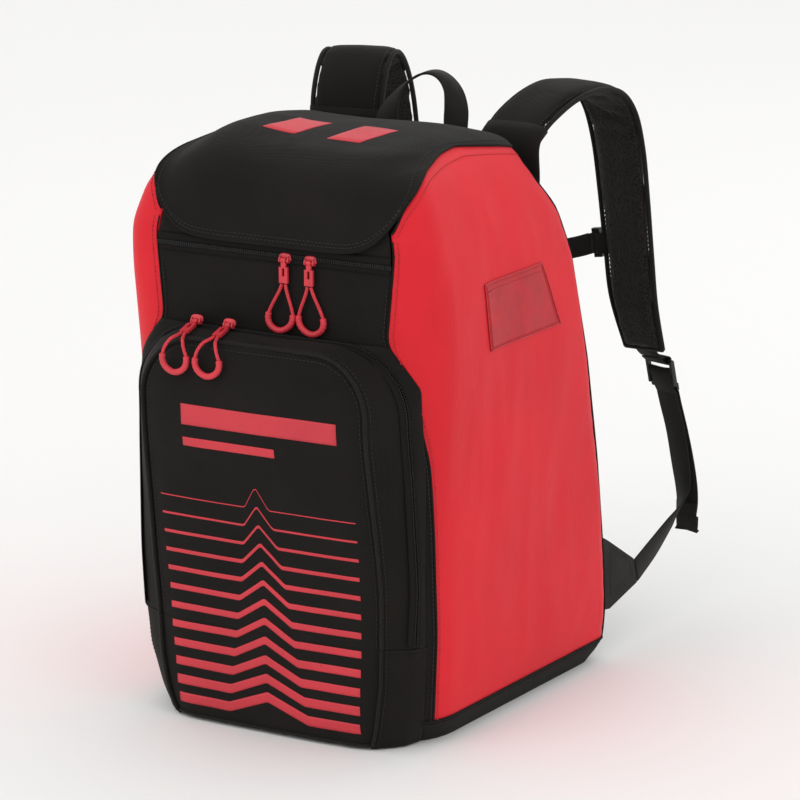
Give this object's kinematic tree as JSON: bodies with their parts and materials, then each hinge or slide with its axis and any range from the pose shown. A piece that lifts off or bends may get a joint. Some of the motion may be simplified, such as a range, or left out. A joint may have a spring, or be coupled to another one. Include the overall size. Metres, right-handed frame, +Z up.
{
  "type": "ski boot backpack",
  "caption": "Soft ski boot backpack with a hood lid, zipped front pocket, padded shoulder straps, chest strap and haul handle.",
  "frame": {"origin": "middle of the flat base, on the ground, under the bag's left-right middle plane", "axes": "+Z up, -Y towards the front pocket, +Y towards the shoulder harness, +X towards the wearer's right, where the ID window is"},
  "size_m": [0.3522, 0.5628, 0.5606],
  "materials": {
    "red_tarpaulin": "coated polyester, soft satin",
    "black_fabric": "woven polyester, matt",
    "air_mesh": "spacer mesh, matt",
    "webbing": "woven webbing, matt",
    "zip_tape": "knitted tape with coil",
    "coral_print": "screen print, matt",
    "window_film": "soft clear film, satin",
    "stiffener": "polyethylene sheet",
    "slider_metal": "painted zip slider",
    "pull_rubber": "moulded, matt",
    "pull_cord": "braided cord",
    "black_plastic": "moulded acetal, satin"
  },
  "bodies": {
    "bag": {"base_panel": "black_fabric", "base_board": "stiffener", "side_panel_left": "red_tarpaulin", "side_panel_right": "red_tarpaulin", "front_panel": "black_fabric", "back_panel": "black_fabric", "frame_sheet": "stiffener", "back_pad_left": "air_mesh", "back_pad_right": "air_mesh", "lumbar_pad": "air_mesh", "harness_yoke": "webbing", "pocket_rim": "black_fabric", "pocket_floor": "black_fabric", "main_zip_tape": "zip_tape", "pocket_zip_tape": "zip_tape", "id_window": "window_film", "strap_anchor_left": "webbing", "strap_anchor_right": "webbing", "handle_patches": "webbing"},
    "lid": {"lid_shell": "black_fabric", "lid_zip_tape": "zip_tape", "lid_badge": "coral_print"},
    "pocket": {"pocket_cover": "black_fabric", "pocket_cover_tape": "zip_tape"},
    "handle": {"haul_handle": "webbing"},
    "main_slider_left": {"main_slider_left": "slider_metal"},
    "main_pull_left": {"main_pull_left": "pull_rubber", "main_cord_left": "pull_cord", "main_grip_left": "pull_rubber"},
    "main_slider_right": {"main_slider_right": "slider_metal"},
    "main_pull_right": {"main_pull_right": "pull_rubber", "main_cord_right": "pull_cord", "main_grip_right": "pull_rubber"},
    "pocket_slider_left": {"pocket_slider_left": "slider_metal"},
    "pocket_pull_left": {"pocket_pull_left": "pull_rubber", "pocket_cord_left": "pull_cord", "pocket_grip_left": "pull_rubber"},
    "pocket_slider_right": {"pocket_slider_right": "slider_metal"},
    "pocket_pull_right": {"pocket_pull_right": "pull_rubber", "pocket_cord_right": "pull_cord", "pocket_grip_right": "pull_rubber"},
    "strap_left": {"shoulder_pad_left": "black_fabric", "lower_webbing_left": "webbing", "webbing_tail_left": "webbing", "lock_loop_left": "webbing"},
    "ladder_lock_left": {"ladder_lock_left": "black_plastic"},
    "chest_slider_left": {"chest_slider_left": "black_plastic"},
    "chest_half_left": {"chest_webbing_left": "webbing", "chest_buckle_female": "black_plastic"},
    "strap_right": {"shoulder_pad_right": "black_fabric", "lower_webbing_right": "webbing", "webbing_tail_right": "webbing", "lock_loop_right": "webbing"},
    "ladder_lock_right": {"ladder_lock_right": "black_plastic"},
    "chest_slider_right": {"chest_slider_right": "black_plastic"},
    "chest_half_right": {"chest_webbing_right": "webbing", "chest_buckle_male": "black_plastic"}
  },
  "joints": [
    {"name": "lid_hinge", "type": "hinge", "parent": "bag", "child": "lid", "pos_m": [0, 0.121, 0.503], "axis": [-1, 0, 0], "range_deg": [0, 90]},
    {"name": "pocket_hinge", "type": "hinge", "parent": "bag", "child": "pocket", "pos_m": [0, -0.149, 0.096], "axis": [1, 0, 0], "range_deg": [0, 60]},
    {"name": "handle_hinge", "type": "hinge", "parent": "bag", "child": "handle", "pos_m": [0, 0.131, 0.494], "axis": [-1, 0, 0], "range_deg": [0, 70]},
    {"name": "main_zip_left", "type": "slide", "parent": "bag", "child": "main_slider_left", "axis": [1, 0, 0], "range_m": [-0.11, 0]},
    {"name": "main_pull_left_hinge", "type": "hinge", "parent": "main_slider_left", "child": "main_pull_left", "pos_m": [0.013, -0.13554, 0.428], "axis": [-1, 0, 0], "range_deg": [0, 120]},
    {"name": "main_zip_right", "type": "slide", "parent": "bag", "child": "main_slider_right", "axis": [1, 0, 0], "range_m": [0, 0.064]},
    {"name": "main_pull_right_hinge", "type": "hinge", "parent": "main_slider_right", "child": "main_pull_right", "pos_m": [0.038, -0.13554, 0.428], "axis": [-1, 0, 0], "range_deg": [0, 120]},
    {"name": "pocket_zip_left", "type": "hinge", "parent": "pocket", "child": "pocket_slider_left", "pos_m": [-0.072, -0.143, 0.299], "axis": [0, -1, 0], "range_deg": [0, 80]},
    {"name": "pocket_pull_left_hinge", "type": "hinge", "parent": "pocket_slider_left", "child": "pocket_pull_left", "pos_m": [-0.072, -0.143, 0.366], "axis": [-1, 0, 0], "range_deg": [0, 100]},
    {"name": "pocket_zip_right", "type": "slide", "parent": "pocket", "child": "pocket_slider_right", "axis": [1, 0, 0], "range_m": [0, 0.11]},
    {"name": "pocket_pull_right_hinge", "type": "hinge", "parent": "pocket_slider_right", "child": "pocket_pull_right", "pos_m": [-0.039, -0.143, 0.366], "axis": [-1, 0, 0], "range_deg": [0, 100]},
    {"name": "strap_left_swing", "type": "hinge", "parent": "bag", "child": "strap_left", "pos_m": [-0.163, 0.2625, 0.066], "axis": [0.1689, -0.3069, 0.9366], "range_deg": [0, 30]},
    {"name": "ladder_lock_left_tilt", "type": "hinge", "parent": "strap_left", "child": "ladder_lock_left", "pos_m": [-0.146, 0.341, 0.254], "axis": [0.9613, 0.2756, 0], "range_deg": [0, 35]},
    {"name": "chest_height_left", "type": "slide", "parent": "strap_left", "child": "chest_slider_left", "axis": [-0.098, 0.039, -0.9944], "range_m": [-0.02, 0.02]},
    {"name": "chest_half_left_hinge", "type": "hinge", "parent": "chest_slider_left", "child": "chest_half_left", "pos_m": [-0.083, 0.319, 0.366], "axis": [0, 0, 1], "range_deg": [0, 70]},
    {"name": "strap_right_swing", "type": "hinge", "parent": "bag", "child": "strap_right", "pos_m": [0.163, 0.2625, 0.066], "axis": [0.1689, 0.3069, -0.9366], "range_deg": [0, 30]},
    {"name": "ladder_lock_right_tilt", "type": "hinge", "parent": "strap_right", "child": "ladder_lock_right", "pos_m": [0.146, 0.341, 0.254], "axis": [0.9613, -0.2756, 0], "range_deg": [0, 35]},
    {"name": "chest_height_right", "type": "slide", "parent": "strap_right", "child": "chest_slider_right", "axis": [0.098, 0.039, -0.9944], "range_m": [-0.02, 0.02]},
    {"name": "chest_half_right_hinge", "type": "hinge", "parent": "chest_slider_right", "child": "chest_half_right", "pos_m": [0.083, 0.319, 0.366], "axis": [0, 0, -1], "range_deg": [0, 70]}
  ]
}
